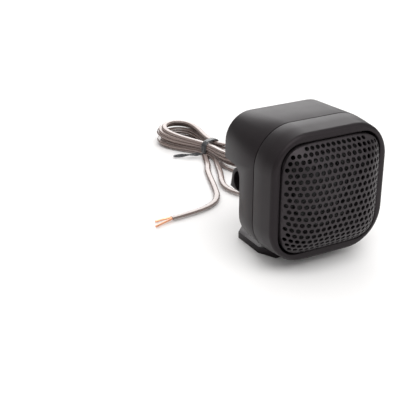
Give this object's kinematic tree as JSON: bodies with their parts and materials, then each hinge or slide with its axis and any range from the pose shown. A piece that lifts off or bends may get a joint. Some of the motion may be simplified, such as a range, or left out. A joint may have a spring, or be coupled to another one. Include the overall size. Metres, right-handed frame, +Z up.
{
  "type": "car tweeter",
  "caption": "Square surface-mount car tweeter with a domed perforated grille, on a tilting and swivelling bracket with a screw-down plate, and a hanked clear twin lead.",
  "frame": {"origin": "on the swivel axis, at the underside of the mounting plate", "axes": "+Z up through the swivel axis, -Y towards the grille, X along the tilt pivot"},
  "size_m": [0.0725, 0.1506, 0.0513],
  "materials": {
    "black_abs": "fine-textured satin moulded ABS",
    "black_steel": "black painted perforated steel",
    "foam": "closed-cell foam",
    "dome_film": "thin glossy film",
    "surround_film": "soft film",
    "former": "brown former film",
    "copper": "bare copper",
    "zinc_steel": "zinc-plated steel",
    "ferrite": "ferrite",
    "board": "phenolic board",
    "wire_pvc": "PVC insulation",
    "capacitor_sleeve": "plain plastic sleeve",
    "dark_screw": "dark chrome",
    "rubber": "soft black rubber",
    "clear_pvc": "clear flexible PVC over copper cores",
    "tie_paper": "plastic-coated twist tie"
  },
  "bodies": {
    "plate": {"mounting_plate": "black_abs"},
    "arm": {"swivel_arm": "black_abs", "retaining_ring": "zinc_steel", "lead_run": "clear_pvc", "lead_hank": "clear_pvc", "lead_tail": "clear_pvc", "bare_ends": "copper", "twist_tie": "tie_paper"},
    "housing": {"front_shell": "black_abs", "rear_shell": "black_abs", "grille": "black_steel", "driver_gasket": "foam", "driver_frame": "black_abs", "surround": "surround_film", "top_plate": "zinc_steel", "magnet": "ferrite", "pole_yoke": "zinc_steel", "terminal_strip": "board", "terminal_tags": "zinc_steel", "hookup_wires": "wire_pvc", "capacitor": "capacitor_sleeve", "capacitor_pad": "foam", "case_screws": "dark_screw", "cable_grommet": "rubber", "pivot_screws": "dark_screw", "friction_washers": "zinc_steel"},
    "diaphragm": {"dome": "dome_film", "coil_former": "former", "voice_coil": "copper"}
  },
  "joints": [
    {"name": "swivel", "type": "hinge", "parent": "plate", "child": "arm", "pos_m": [0, 0, 0], "axis": [0, 0, 1], "continuous": true},
    {"name": "tilt", "type": "hinge", "parent": "arm", "child": "housing", "pos_m": [0, -0.0006, 0.0249], "axis": [-1, 0, 0], "range_deg": [0, 90], "deforming": ["lead_run"]},
    {"name": "diaphragm_travel", "type": "slide", "parent": "housing", "child": "diaphragm", "axis": [0, -1, 0], "range_m": [-0.0003, 0.0003], "stiffness_N_per_m": 800, "deforming": ["surround"]}
  ]
}
